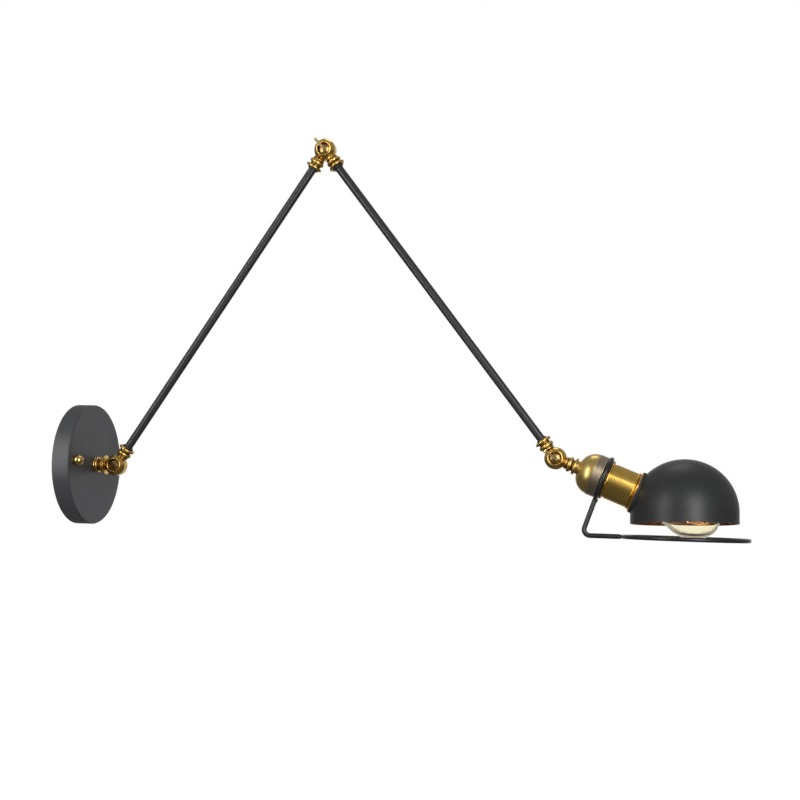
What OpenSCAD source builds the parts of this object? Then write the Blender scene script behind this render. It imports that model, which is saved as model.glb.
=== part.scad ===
// Accordion wall lamp: a round backplate, two slim arms on three friction knuckles,
// a brass socket with a domed shade, and a wire guard in front of a clear bulb.
// The origin is the centre of the wall plane. X leaves the wall, Z is up, and all three
// knuckle pins lie along Y, so the arms fold in the XZ plane. Millimetres and degrees.

/* [Backplate] */
// Diameter of the round backplate
plate_d = 139.7; // [100:0.1:180]
// How far the backplate stands off the wall
plate_h = 20; // [14:0.5:30]
// Sheet thickness of the backplate
plate_wall = 1.2; // [0.8:0.1:2]
// Outer radius of the backplate's front edge
plate_edge = 1.8; // [1.5:0.1:4]
// Distance from the plate's edge to a cap nut's centre
nut_inset = 13.8; // [12:0.1:35]
// Turn of the cap nut line about the centre
plate_turn = -3.5; // [-6:0.5:6]
// Distance between the two wall screw slots of the bracket
wall_slot_pitch = 60; // [56:0.5:62]
// Width of those slots
wall_slot_w = 4.6; // [3.6:0.1:5.4]

/* [Arms] */
// Full length of each arm tube
tube_len = 400; // [250:1:500]
// Outer diameter of the arm tubes
tube_d = 9.2; // [7.6:0.1:9.8]
// Wall thickness of the arm tubes
tube_wall = 1.1; // [0.8:0.1:1.6]
// How deep a tube end sits in its collar
tube_in = 5.9; // [4:0.1:7]

/* [Pose] */
// Angle of the lower arm above level
lower_angle = 56.1; // [0:0.1:85]
// Angle of the upper arm, negative runs down
upper_angle = -51.9; // [-70:0.1:40]
// Angle of the socket axis, negative runs down
lamp_angle = -21.7; // [-60:0.5:60]

/* [Knuckles] */
// Diameter of the two round eyes of a knuckle
eye_d = 24.2; // [22.6:0.1:25]
// Diameter of the ball that rounds the eyes off
eye_ball_d = 25.4; // [24.2:0.1:29]
// Thickness of half a knuckle
eye_w = 9.5; // [8.5:0.1:11]
// Distance from a pin to the end of its collar
collar_len = 24.4; // [23:0.1:28]
// Diameter of the collar's widest ring
flange_d = 19; // [17:0.1:21]
// Diameter of the collar's bead
bead_d = 17.2; // [15:0.1:18]
// Diameter of the knuckle screws
pin_d = 5; // [4:0.1:6]
// Length of a key blade past its screw
key_reach = 14.4; // [8:0.1:15]
// Direction of the elbow key
elbow_key_angle = 132; // [0:1:360]
// Direction of the lamp key
lamp_key_angle = 145; // [0:1:360]

/* [Socket] */
// Diameter of the brass barrel
barrel_d = 39.4; // [36:0.1:42]
// Diameter of the domed cap
cap_d = 45; // [42:0.1:48]
// Length of the barrel in front of the groove
barrel_len = 29.6; // [26:0.1:36]
// Width of the bronze band behind the guard loop
band_w = 9.4; // [8:0.1:13]

/* [Shade] */
// Diameter of the shade
shade_d = 114.3; // [105:0.1:130]
// Height of the straight skirt under the dome
skirt_h = 12.3; // [8:0.1:24]
// Sheet thickness of the shade
shade_wall = 1; // [0.8:0.1:1.5]
// Angle between the rim and the socket axis
shade_pitch = 23.2; // [15:0.5:35]
// Turn of the shade about the socket axis
shade_turn = -3.6; // [-6:0.1:6]

/* [Guard] */
// Wire diameter of the guard's loop, leg and foot
wire_d = 5.4; // [4:0.1:6]
// Wire diameter of the guard ring
ring_wire_d = 4.6; // [3:0.1:5]
// Outer diameter of the guard ring
guard_d = 136.4; // [130:0.1:150]
// Angle between the guard ring and the socket axis
guard_pitch = 21.6; // [15:0.1:30]
// How far the ring centre lies below the shade centre
guard_drop = 28.5; // [26:0.5:36]
// Bend radius between the leg and the foot
guard_bend = 6.5; // [5:0.5:10]
// Turn of the guard about the socket axis
guard_turn = -1.1; // [-4:0.1:4]

/* [Bulb] */
// Largest diameter of the bulb
bulb_d = 50.6; // [44:0.2:54]
// Diameter of the bulb's neck
bulb_neck_d = 25.4; // [24:0.1:26]
// Length of the bulb from its centre contact
bulb_len = 117; // [112:0.5:120]
// Distance from the bulb's widest place to its tip
bulb_nose = 32; // [29:0.5:34]

/* [Which part] */
// One sub-part, or all of them

/* [Hidden] */
$fn = 72;
// Gap between two parts that are fitted together
fit = 0.05;
// Gap between two parts that only stand close
air = 0.3;
// Distance between the two cap nuts
cap_nut_pitch = plate_d - 2 * nut_inset;
// Distance from the wall to the lower pin, over the brass seat ring
seat_h = 2.1;
base_x = plate_h + seat_h + collar_len;
// Distance between the two pins of an arm
arm = tube_len + 2 * (collar_len - tube_in);
// Where the tubes begin, counted from their pins
tube_at = collar_len - tube_in;
// The black rings at the tube ends
ferrule_w = 2;
ferrule_d = tube_d + 3.4;
// The two pins that move with the arms
elbow = [base_x + arm * cos(lower_angle), 0, arm * sin(lower_angle)];
wrist = elbow + [arm * cos(upper_angle), 0, arm * sin(upper_angle)];
// Inside a knuckle: half the gap between the eyes, and the wire room round the screw
eye_gap = 0.4;
room_r = 8;
room_h = 3.2;
hub_r = pin_d / 2 + 1.7;
head_r = 6.2;
sink_r = head_r + 0.7;
sink_h = 5.2;
neck_r = 6.2;
wire_r = 2.5;
// Threads of the hollow nipple and of the stub that carries the socket
nipple_r = 4.95;
nipple_hole = nipple_r + fit;
nipple_in = 3.5;
// How far the nipple screws into the wall-side collar, and the wider hole beyond it
nipple_grip = 5.4;
wall_wire_r = nipple_in + 0.7;
// Stations along the socket axis, counted from the lamp pin
cap_at = collar_len;
cap_end = cap_at + 19.8;
cap_wall = 1;
stub_seat = cap_at + 3.9;
band_end = cap_end + band_w;
loop_at = band_end + air + wire_d / 2;
nut_at = loop_at + wire_d / 2 + air;
nut_w = 2.4;
groove_end = nut_at + nut_w + 2.4;
barrel_end = groove_end + barrel_len;
neck_end = barrel_end + 9.6;
// The threaded part of the barrel, and its bore
thread_r = barrel_d / 2 - 0.5;
// The cap narrows inward, so the less room there is round the thread, the less deep it reaches
thread_room = cap_d / 2 - thread_r;
thread_in = thread_room / 0.55;
nut_r = thread_r + 2.8;
barrel_in = thread_r - 0.8;
// The shade's centre is where its dome meets the rubber gasket
shade_r = shade_d / 2;
gasket_r = thread_r + 3.8;
shade_at = barrel_end + 1.6 + sqrt(pow(shade_r, 2) - pow(thread_r + 1, 2));
// The guard ring's centre in socket coordinates
ring_r = guard_d / 2 - ring_wire_d / 2;
ring_x = shade_at + 1.6 * cos(lamp_angle) - guard_drop * sin(lamp_angle);
ring_z = -1.6 * sin(lamp_angle) - guard_drop * cos(lamp_angle) + 0.57;
loop_r = thread_r + air + wire_d / 2;
// The guard's corner lies on the foot's line, straight below the loop and a little forward
corner_x = loop_at + 2.3;
corner_z = ring_z + (corner_x - ring_x) * tan(guard_pitch);
leg_turn = atan2(corner_x - loop_at, -corner_z - loop_r);
bend_turn = 90 + guard_pitch - leg_turn;
bend_back = guard_bend * tan(bend_turn / 2);
leg_len = norm([corner_x - loop_at, -corner_z - loop_r]) - bend_back;
foot_len = norm([ring_x - corner_x, ring_z - corner_z]) - ring_r;
// The bulb screws into the lampholder
contact_at = barrel_end - 23.6;
bulb_tip = contact_at + bulb_len;
cap_glass = contact_at + 28;
lamp_cap_r = 13.2;
shell_r = 14.2;
holder_r = barrel_in - 0.2;

// Colours
satin_black = [0.09, 0.09, 0.1];
old_brass = [0.66, 0.47, 0.17];
zinc = [0.72, 0.73, 0.74];
bronze = [0.36, 0.32, 0.27];
rubber = [0.04, 0.04, 0.04];
white = [0.93, 0.92, 0.88];
clear = [0.95, 0.93, 0.85, 0.4];

// Turns an outline drawn as radius and distance into a solid round the X axis
module round_x() {
  rotate([0, 90, 0])
    rotate_extrude()
      children();
}

// The same round the Y axis. The distance counts towards the viewer's side, or away from it
module round_y(near = true) {
  rotate([near ? 90 : -90, 0, 0])
    rotate_extrude()
      children();
}

// Places a part drawn along X on the lower arm, the upper arm or the socket axis
module on_lower() {
  translate([base_x, 0, 0])
    rotate([0, -lower_angle, 0])
      children();
}

module on_upper() {
  translate(elbow)
    rotate([0, -upper_angle, 0])
      children();
}

module on_lamp() {
  translate(wrist)
    rotate([0, -lamp_angle, 0])
      children();
}

// A thin round wire between any two points
module wire(from, to, d) {
  run = to - from;
  translate(from)
    rotate([0, acos(run[2] / norm(run)), atan2(run[1], run[0])])
      cylinder(h = norm(run), d = d, $fn = 16);
}

// ---- Backplate and its fixings

module canopy() {
  color(satin_black)
    difference() {
      round_x()
        difference() {
          union() {
            square([plate_d / 2, plate_h - plate_edge]);
            square([plate_d / 2 - plate_edge, plate_h]);
            translate([plate_d / 2 - plate_edge, plate_h - plate_edge])
              circle(r = plate_edge);
          }
          square([plate_d / 2 - plate_wall, plate_h - plate_edge]);
          square([plate_d / 2 - plate_edge, plate_h - plate_wall]);
          translate([plate_d / 2 - plate_edge, plate_h - plate_edge])
            circle(r = plate_edge - plate_wall);
          square([nipple_hole + 0.3, plate_h + 1]);
        }
      screw_line()
        translate([plate_h - 5, 0, 0])
          rotate([0, 90, 0])
            cylinder(h = 10, r = 2.25);
    }
}

// Both ends of the line on which the studs and cap nuts stand
module screw_line() {
  for (side = [-1, 1])
    rotate([plate_turn, 0, 0])
      translate([0, side * cap_nut_pitch / 2, 0])
        children();
}

// The strap lies on the wall and its two ends step forward over the stud heads.
// Upright slots in the ends let the backplate turn a few degrees before it is tightened.
module bracket() {
  half = cap_nut_pitch / 2 + 6;
  step = cap_nut_pitch / 2 - 6.8;
  color(zinc)
    difference() {
      translate([0, 0, -10])
        linear_extrude(height = 20)
          polygon([[0, -step], [0, step], [3.8, step + 2.2], [3.8, half], [5.4, half],
            [5.4, step + 1.7], [1.6, step - 0.5], [1.6, 0.5 - step], [5.4, -step - 1.7],
            [5.4, -half], [3.8, -half], [3.8, -step - 2.2]]);
      translate([-1, 0, 0])
        rotate([0, 90, 0])
          cylinder(h = 4, r = 6);
      for (side = [-1, 1]) {
        slot(side * cap_nut_pitch / 2, 4.8, 2.4, true);
        slot(side * wall_slot_pitch / 2, 4.7, wall_slot_w / 2, false);
      }
      translate([-1, 16, 0])
        rotate([0, 90, 0])
          cylinder(h = 4, r = 2 + fit);
    }
}

// A round-ended slot through the strap, upright or along it
module slot(y, reach, r, upright) {
  for (end = [-reach, reach])
    translate([-1, y + (upright ? 0 : end), upright ? end : 0])
      rotate([0, 90, 0])
        cylinder(h = 8, r = r);
  translate([-1, y - (upright ? r : reach), -(upright ? reach : r)])
    cube([8, 2 * (upright ? r : reach), 2 * (upright ? reach : r)]);
}

module canopy_studs() {
  color(zinc)
    screw_line()
      round_x()
        union() {
          translate([0, 1.2])
            square([3.8, 2.6]);
          translate([0, 3])
            square([2, plate_h + 2.6]);
        }
}

// Round brass nuts with a small foot, and a blind hole for the stud
module cap_nuts() {
  color(old_brass)
    screw_line()
      difference() {
        round_x()
          translate([0, plate_h])
            union() {
              square([4.6, 1.6]);
              intersection() {
                translate([0, 5.4])
                  circle(r = 6.2);
                square([8, 12]);
              }
            }
        translate([plate_h - 1, 0, 0])
          rotate([0, 90, 0])
            cylinder(h = 7.6, r = 2 + fit);
      }
}

// The earth screw of the strap, with its cupped washer
module earth_screw() {
  color(old_brass)
    translate([0, 16, 0])
      difference() {
        round_x()
          union() {
            translate([0, 0.2])
              square([2, 5]);
            translate([0, 1.6])
              square([4.6, 0.9]);
            translate([0, 2.5])
              square([3.4, 2.4]);
          }
        translate([4, -4, -0.5])
          cube([2, 8, 1]);
      }
}

// The hollow thread that clamps the lower knuckle to the backplate
module nipple() {
  color(zinc)
    round_x()
      translate([nipple_in, plate_h - 10])
        square([nipple_r - nipple_in, 10 + seat_h + nipple_grip]);
}

module lock_washer() {
  color(zinc)
    round_x()
      translate([nipple_hole, plate_h - plate_wall - 1.2])
        square([9 - nipple_hole, 1.2]);
}

module lock_nut() {
  color(zinc)
    translate([plate_h - plate_wall - 1.2 - 4, 0, 0])
      rotate([0, 90, 0])
        difference() {
          cylinder(h = 4, d = 16.2, $fn = 6);
          translate([0, 0, -1])
            cylinder(h = 6, r = nipple_hole);
        }
}

module seat_ring() {
  color(old_brass)
    round_x()
      difference() {
        union() {
          translate([0, plate_h])
            square([7.6, seat_h]);
          translate([7.6, plate_h + seat_h / 2])
            circle(r = seat_h / 2);
        }
        square([nipple_hole, base_x]);
      }
}

// ---- Knuckles

// The turned collar of a knuckle: a narrow neck, a small ring, a bead and the widest ring
module collar(wall_side = false) {
  round_x()
    difference() {
      union() {
        translate([0, 4])
          square([neck_r, collar_len - 4]);
        if (wall_side) {
          translate([0, eye_d / 2 + 0.5])
            square([eye_d / 2 - 1.4, 1.2]);
          translate([eye_d / 2 - 1.4, eye_d / 2 + 1.1])
            circle(r = 0.6);
        } else {
          translate([neck_r - 0.2, 12.9])
            circle(r = 0.9);
        }
        translate([bead_d / 2 - 2.4, 16.8])
          circle(r = 2.4);
        translate([0, collar_len - 3.3])
          square([flange_d / 2 - 1.6, 3.3]);
        translate([flange_d / 2 - 1.6, collar_len - 1.65])
          circle(r = 1.6);
      }
      translate([0, wall_side ? collar_len - nipple_grip - air : tube_at])
        square([wall_side ? nipple_hole : tube_d / 2 + fit, collar_len]);
      translate([0, hub_r + 1.6])
        square([wall_side ? wall_wire_r : wire_r, collar_len]);
    }
}

// Half a knuckle: a round eye on one side of the middle plane, and its collar.
// The annular room round the screw lets the wires cross the joint.
module eye(near = true, wall_side = false) {
  difference() {
    union() {
      intersection() {
        round_y(near)
          translate([0, eye_gap])
            square([eye_d / 2, eye_w - eye_gap]);
        sphere(d = eye_ball_d);
      }
      collar(wall_side);
    }
    // Room for the eye of the other half
    round_y(!near)
      translate([0, -eye_gap])
        square([eye_d / 2 + air, 14]);
    // Wire room and screw hole
    round_y(near)
      union() {
        square([pin_d / 2 + fit, 14]);
        translate([hub_r, 0])
          square([room_r - hub_r, room_h]);
        if (near) {
          translate([0, sink_h])
            square([sink_r, 8]);
        } else {
          translate([0, eye_w - 1.1])
            square([4.4, 8]);
        }
      }
  }
}

// A thin ring between the two eyes gives the joint its friction
module friction_ring() {
  color(rubber)
    rotate([90, 0, 0])
      translate([0, 0, -eye_gap])
        difference() {
          cylinder(h = 2 * eye_gap - 0.04, r = eye_d / 2 - 0.4);
          translate([0, 0, -1])
            cylinder(h = 3, r = room_r + 0.3);
        }
}

// The screw through both eyes: a round head in the near eye, its end in the far one
module pin_screw() {
  round_y()
    translate([0, -(eye_w - 0.7)])
      square([pin_d / 2, eye_w - 0.7 + sink_h + 1]);
  intersection() {
    round_y()
      translate([0, sink_h + fit])
        square([head_r, 4]);
    translate([0, 3.4, 0])
      sphere(r = 12);
  }
}

// A key screw has a flat blade across its head, longer on one side
module key_screw(angle) {
  color(old_brass) {
    pin_screw();
    rotate([0, -angle, 0])
      linear_extrude(height = 3, center = true)
        scale([1, -1])
          union() {
            translate([-4.4, sink_h + 1.2])
              square([8.8, 4]);
            translate([-2.6, eye_w + 0.4])
              square([key_reach, 5.2]);
            translate([-2.6, eye_w + 3])
              circle(r = 2.6);
            translate([key_reach - 2.6, eye_w + 3])
              circle(r = 2.6);
          }
  }
}

module base_eye() {
  color(old_brass)
    translate([base_x, 0, 0])
      rotate([0, 180, 0])
        eye(near = false, wall_side = true);
}

module base_friction_ring() {
  translate([base_x, 0, 0])
    friction_ring();
}

// The lower knuckle has a plain slotted screw in place of a key
module base_screw() {
  color(old_brass)
    translate([base_x, 0, 0])
      difference() {
        pin_screw();
        rotate([0, 35, 0])
          translate([-7, -12, -0.7])
            cube([14, 5, 1.4]);
      }
}

module lower_foot_eye() {
  color(old_brass)
    on_lower()
      eye(near = true);
}

module lower_top_eye() {
  color(old_brass)
    on_lower()
      translate([arm, 0, 0])
        rotate([0, 180, 0])
          eye(near = false);
}

module elbow_friction_ring() {
  translate(elbow)
    friction_ring();
}

module elbow_key() {
  translate(elbow)
    key_screw(elbow_key_angle);
}

module upper_foot_eye() {
  color(old_brass)
    on_upper()
      eye(near = true);
}

module upper_end_eye() {
  color(old_brass)
    on_upper()
      translate([arm, 0, 0])
        rotate([0, 180, 0])
          eye(near = false);
}

module lamp_friction_ring() {
  translate(wrist)
    friction_ring();
}

module lamp_key() {
  translate(wrist)
    key_screw(lamp_key_angle);
}

// ---- Arm tubes

module arm_tube() {
  color(satin_black)
    round_x()
      translate([tube_d / 2 - tube_wall, tube_at])
        square([tube_wall, tube_len]);
}

// A black ring covers the joint between tube and collar, with rounded outer edges
module ferrules() {
  color(satin_black)
    for (at = [collar_len, arm - collar_len - ferrule_w])
      round_x()
        translate([tube_d / 2 + fit, at])
          union() {
            translate([0, 0.6])
              square([ferrule_d / 2 - tube_d / 2 - fit, ferrule_w - 1.2]);
            square([ferrule_d / 2 - tube_d / 2 - fit - 0.6, ferrule_w]);
            for (edge = [0.6, ferrule_w - 0.6])
              translate([ferrule_d / 2 - tube_d / 2 - fit - 0.6, edge])
                circle(r = 0.6);
          }
}

module lower_tube() {
  on_lower()
    arm_tube();
}

module lower_ferrules() {
  on_lower()
    ferrules();
}

module upper_tube() {
  on_upper()
    arm_tube();
}

module upper_ferrules() {
  on_upper()
    ferrules();
}

// ---- Lamp head

// The lamp's half knuckle ends in a hollow thread that carries the socket
module lamp_eye() {
  color(old_brass)
    on_lamp() {
      eye(near = true);
      round_x()
        translate([wire_r, tube_at - 2])
          square([nipple_r - wire_r, stub_seat + 4.5 - tube_at + 2]);
    }
}

module stub_nut() {
  color(zinc)
    on_lamp()
      translate([stub_seat, 0, 0])
        rotate([0, 90, 0])
          difference() {
            cylinder(h = 3.5, d = 16.2, $fn = 6);
            translate([0, 0, -1])
              cylinder(h = 6, r = nipple_hole);
          }
}

// The domed cap: a small boss with a flat seat for the nut, a quarter round, a straight edge
module socket_cap() {
  color(old_brass)
    on_lamp()
      round_x()
        difference() {
          union() {
            translate([0, cap_at])
              square([7.2, 6]);
            intersection() {
              cap_round(0);
              square([cap_d, cap_end]);
            }
          }
          intersection() {
            cap_round(cap_wall);
            translate([0, stub_seat])
              square([cap_d, cap_d]);
          }
          square([nipple_hole, cap_end]);
        }
}

module cap_round(inset) {
  curve = 18;
  middle = cap_d / 2 - curve;
  translate([middle, cap_end + 0.6])
    circle(r = curve - inset);
  translate([0, cap_end + 0.6 - curve + inset])
    square([middle, curve]);
}

// The bronze band with a fine groove near each edge
module socket_band() {
  color(bronze)
    on_lamp()
      round_x()
        difference() {
          translate([thread_r + fit, cap_end + 0.8])
            square([cap_d / 2 + 0.4 - thread_r - fit, band_w - 1.6]);
          for (at = [cap_end + 1.5, band_end - 1.5])
            translate([cap_d / 2 + 0.5, at])
              circle(r = 0.35);
        }
}

// Two bright rims hold the band
module band_trims() {
  color(old_brass)
    on_lamp()
      for (at = [cap_end, band_end - 0.8])
        round_x()
          translate([thread_r + fit, at])
            square([cap_d / 2 + 0.7 - thread_r - fit, 0.8]);
}

module ring_nut() {
  color(old_brass)
    on_lamp()
      round_x()
        difference() {
          union() {
            translate([0, nut_at])
              square([nut_r - nut_w / 2, nut_w]);
            translate([nut_r - nut_w / 2, nut_at + nut_w / 2])
              circle(r = nut_w / 2);
          }
          square([thread_r + fit, barrel_end]);
        }
}

// The barrel: a threaded tube behind, the visible sleeve, and a flared end against the shade
module barrel() {
  color(old_brass)
    on_lamp()
      round_x()
        difference() {
          union() {
            translate([0, cap_end - thread_in])
              square([thread_r, neck_end - cap_end + thread_in]);
            translate([0, groove_end])
              square([barrel_d / 2, barrel_len]);
            translate([0, barrel_end - 4.4])
              square([barrel_d / 2 + 0.5, 1.4]);
            translate([barrel_d / 2 + 0.5, barrel_end - 3.7])
              circle(r = 0.7);
            polygon([[0, barrel_end - 3], [barrel_d / 2, barrel_end - 3],
              [gasket_r - 0.8, barrel_end - 1.4], [gasket_r, barrel_end - 0.9],
              [gasket_r, barrel_end], [0, barrel_end]]);
          }
          difference() {
            square([barrel_in, neck_end + 1]);
            translate([15.4, barrel_end + 3.4])
              square([6, 1.2]);
          }
        }
}

// The black gasket lies flat on the barrel and follows the dome on its other side
module gasket() {
  color(rubber)
    on_lamp()
      round_x()
        difference() {
          translate([thread_r + fit, barrel_end])
            square([gasket_r + 0.2 - thread_r - fit, 4]);
          translate([0, shade_at])
            circle(r = shade_r + 0.02, $fn = 200);
        }
}

// The dome and its skirt, with a rolled rim and a round hole for the barrel
module shade() {
  color(satin_black)
    on_lamp()
      difference() {
        translate([shade_at, 0, 0])
          rotate([shade_turn, 0, 0])
            rotate([0, -shade_pitch, 0])
              rotate_extrude($fn = 144)
                shade_form();
        rotate([0, 90, 0])
          cylinder(h = shade_at, r = thread_r + 0.2);
      }
}

module shade_form() {
  difference() {
    union() {
      intersection() {
        circle(r = shade_r);
        square([shade_r, shade_r]);
      }
      translate([0, -skirt_h])
        square([shade_r, skirt_h]);
    }
    intersection() {
      circle(r = shade_r - shade_wall);
      square([shade_r, shade_r]);
    }
    translate([0, -skirt_h])
      square([shade_r - shade_wall, skirt_h]);
  }
  translate([shade_r - 0.9, 0.9 - skirt_h])
    circle(r = 0.9);
}

// The nut inside the shade pulls the dome against the gasket
module shade_nut() {
  inner = shade_r - shade_wall - 0.05;
  color(old_brass)
    on_lamp()
      round_x()
        difference() {
          translate([thread_r + fit, barrel_end + 1.2])
            square([4, neck_end - barrel_end - 2.4]);
          difference() {
            square([40, shade_at]);
            translate([0, shade_at])
              circle(r = inner, $fn = 200);
          }
        }
}

// The ceramic lampholder inside the barrel
module lampholder() {
  color(white)
    on_lamp()
      difference() {
        round_x()
          difference() {
            translate([0, contact_at - 12])
              square([holder_r, barrel_end + 3.3 - contact_at + 12]);
            translate([0, contact_at - 1.6])
              square([shell_r + fit, 60]);
          }
        for (side = [-1, 1])
          translate([contact_at - 13, side * 9, 0])
            rotate([0, 90, 0])
              cylinder(h = 8, r = 2.3);
        translate([contact_at - 13, 0, 0])
          rotate([0, 90, 0])
            cylinder(h = 20, r = 1.6);
      }
}

module screw_shell() {
  color(old_brass)
    on_lamp()
      round_x()
        union() {
          translate([lamp_cap_r + 0.5, contact_at + 0.6])
            square([shell_r - lamp_cap_r - 0.5, 26]);
          translate([10, contact_at - 1.6])
            square([shell_r - 10, 0.4]);
          translate([lamp_cap_r + 0.5, contact_at - 1.4])
            square([shell_r - lamp_cap_r - 0.5, 3]);
        }
}

// A brass tongue and its rivet, under the bulb's centre contact
module centre_contact() {
  color(old_brass)
    on_lamp()
      round_x()
        union() {
          translate([0, contact_at - 6])
            square([1.6 - fit, 5.4]);
          translate([0, contact_at - 1.6])
            square([4.6, 1]);
          translate([0, contact_at - 0.7])
            square([2.6, 0.65]);
        }
}

module terminal_screws() {
  color(old_brass)
    on_lamp()
      for (side = [-1, 1])
        translate([0, side * 9, 0])
          difference() {
            round_x()
              union() {
                translate([0, contact_at - 13.6])
                  square([3.2, 1.6]);
                translate([0, contact_at - 12.2])
                  square([2.2, 6]);
              }
            translate([contact_at - 14.6, -4, -0.4])
              cube([1.7, 8, 0.8]);
          }
}

// ---- Guard: one wire from the loop on the socket down to the big ring

module guard() {
  color(satin_black)
    on_lamp()
      rotate([guard_turn, 0, 0]) {
        round_x()
          translate([loop_r, loop_at])
            circle(d = wire_d);
        guard_wire();
        translate([ring_x, 0, ring_z])
          rotate([0, -guard_pitch, 0])
            rotate_extrude($fn = 144)
              translate([ring_r, 0])
                circle(d = ring_wire_d);
      }
}

// Leg, bend and foot, drawn from the bend's centre. The foot's end tapers into the ring.
module guard_wire() {
  lap = 0.1;
  foot = foot_len - bend_back - ring_wire_d;
  centre_x = corner_x - bend_back * sin(leg_turn) + guard_bend * cos(leg_turn);
  centre_z = corner_z + bend_back * cos(leg_turn) + guard_bend * sin(leg_turn);
  translate([centre_x, 0, centre_z])
    rotate([90, 0, 0])
      rotate([0, 0, 180 + leg_turn]) {
        translate([guard_bend, lap, 0])
          rotate([90, 0, 0])
            cylinder(h = leg_len + lap, d = wire_d);
        rotate_extrude(angle = bend_turn)
          translate([guard_bend, 0])
            circle(d = wire_d + 0.04);
        rotate([0, 0, bend_turn])
          translate([guard_bend, -lap, 0])
            rotate([-90, 0, 0]) {
              cylinder(h = foot + lap, d = wire_d);
              translate([0, 0, foot + lap])
                cylinder(h = ring_wire_d, d1 = wire_d, d2 = ring_wire_d - 0.8);
            }
      }
}

// ---- Bulb

module bulb_cap() {
  color(zinc)
    on_lamp()
      round_x()
        difference() {
          union() {
            translate([0, contact_at + 3.2])
              square([lamp_cap_r - 0.5, cap_glass - contact_at - 3.2]);
            for (turn = [0 : 4])
              translate([lamp_cap_r - 1.1, contact_at + 6.4 + 3.6 * turn])
                circle(r = 1.1);
            translate([0, cap_glass - 3])
              square([lamp_cap_r, 3]);
          }
          translate([0, contact_at + 4])
            square([lamp_cap_r - 2.5, cap_glass]);
          translate([0, cap_glass - 2])
            square([bulb_neck_d / 2 + 0.02, 3]);
        }
}

// Dark glass button with the centre contact on it
module bulb_insulator() {
  color(rubber)
    on_lamp()
      round_x()
        polygon([[0, contact_at], [4.4, contact_at], [4.8, contact_at + 0.8],
          [8, contact_at + 1.2], [lamp_cap_r - 1.2, contact_at + 3.2], [0, contact_at + 3.2]]);
}

// Pear-shaped clear glass: a neck, a cone and a round end, one millimetre thick
module bulb_glass() {
  color(clear)
    on_lamp()
      round_x()
        difference() {
          bulb_form(0);
          bulb_form(0.9);
        }
}

// Its outline: a flank arc, a smaller arc round the tip, and a cone down to the neck
module bulb_form(inset) {
  lean = 20;
  flank = 36;
  wide = bulb_tip - bulb_nose;
  side = flank - bulb_d / 2;
  tip_r = (pow(flank, 2) - pow(bulb_nose, 2) - pow(side, 2)) / (2 * (flank - bulb_nose));
  tip_at = bulb_tip - tip_r;
  joint = atan2(tip_at - wide, side);
  join = [(flank - inset) * cos(joint) - side, wide + (flank - inset) * sin(joint)];
  touch = [(flank - inset) * cos(lean) - side, wide - (flank - inset) * sin(lean)];
  neck = bulb_neck_d / 2 - inset;
  start = touch[1] - (touch[0] - neck) / tan(lean);
  back = cap_glass - 1.9 - (inset > 0 ? 1 : 0);
  intersection() {
    translate([-side, wide])
      circle(r = flank - inset, $fn = 144);
    translate([0, touch[1]])
      square([flank, join[1] - touch[1]]);
  }
  intersection() {
    translate([0, tip_at])
      circle(r = tip_r - inset);
    square([flank, bulb_tip]);
  }
  polygon([[0, back], [neck, back], [neck, start], touch, [0, wide]]);
}

// The flared glass stem that carries the filament
module bulb_stem() {
  flare = bulb_neck_d / 2 - 0.9 - 0.1;
  color(clear)
    on_lamp()
      round_x()
        union() {
          polygon([[0, cap_glass + 2], [flare, cap_glass + 2], [flare, cap_glass + 3.2],
            [4.6, cap_glass + 9], [3.2, cap_glass + 18], [2.4, cap_glass + 24], [0, cap_glass + 24]]);
          translate([0, cap_glass + 24])
            square([1.3, 34]);
          translate([0, cap_glass + 58])
            intersection() {
              circle(r = 2.6);
              translate([0, -3])
                square([3, 6]);
            }
        }
}

// A squirrel-cage filament: long thin legs between a small and a wider hoop, and the four
// short wires that hold it on the stem
module filament() {
  low = cap_glass + 26;
  top = cap_glass + 58;
  color([0.95, 0.75, 0.4])
    on_lamp() {
      for (leg = [0 : 7])
        wire([low - 1, 4.6 * cos(45 * leg), 4.6 * sin(45 * leg)],
          [top + 1, 8 * cos(45 * leg), 8 * sin(45 * leg)], 0.6);
      for (hoop = [[low, 4.7], [top, 7.9]])
        round_x()
          translate([hoop[1], hoop[0]])
            circle(r = 0.5);
      for (hoop = [[low, 4.7, 1.35], [top, 7.9, 2.65]])
        for (side = [-1, 1])
          wire([hoop[0], side * hoop[2], 0], [hoop[0], side * hoop[1], 0], 0.6);
    }
}

canopy();
bracket();
canopy_studs();
cap_nuts();
earth_screw();
nipple();
lock_nut();
lock_washer();
seat_ring();
base_eye();
base_friction_ring();
base_screw();
lower_foot_eye();
lower_tube();
lower_ferrules();
lower_top_eye();
elbow_friction_ring();
elbow_key();
upper_foot_eye();
upper_tube();
upper_ferrules();
upper_end_eye();
lamp_friction_ring();
lamp_key();
lamp_eye();
stub_nut();
socket_cap();
socket_band();
band_trims();
ring_nut();
barrel();
gasket();
shade();
shade_nut();
lampholder();
screw_shell();
centre_contact();
terminal_screws();
guard();
bulb_cap();
bulb_insulator();
bulb_glass();
bulb_stem();
filament();
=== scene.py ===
# %% [markdown]
# # Accordion wall lamp
# A wall lamp on two slim arms that fold like an accordion. Nearly all of its pieces come from the
# CAD model with their exact shapes. This lesson adds what a CAD model lacks: finishes, screw
# threads, a weld bead, clear glass, a glowing filament, soft studio light and the camera.

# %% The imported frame
import math

import bmesh
import bpy
import numpy as np
from mathutils import Matrix, Vector


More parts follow.
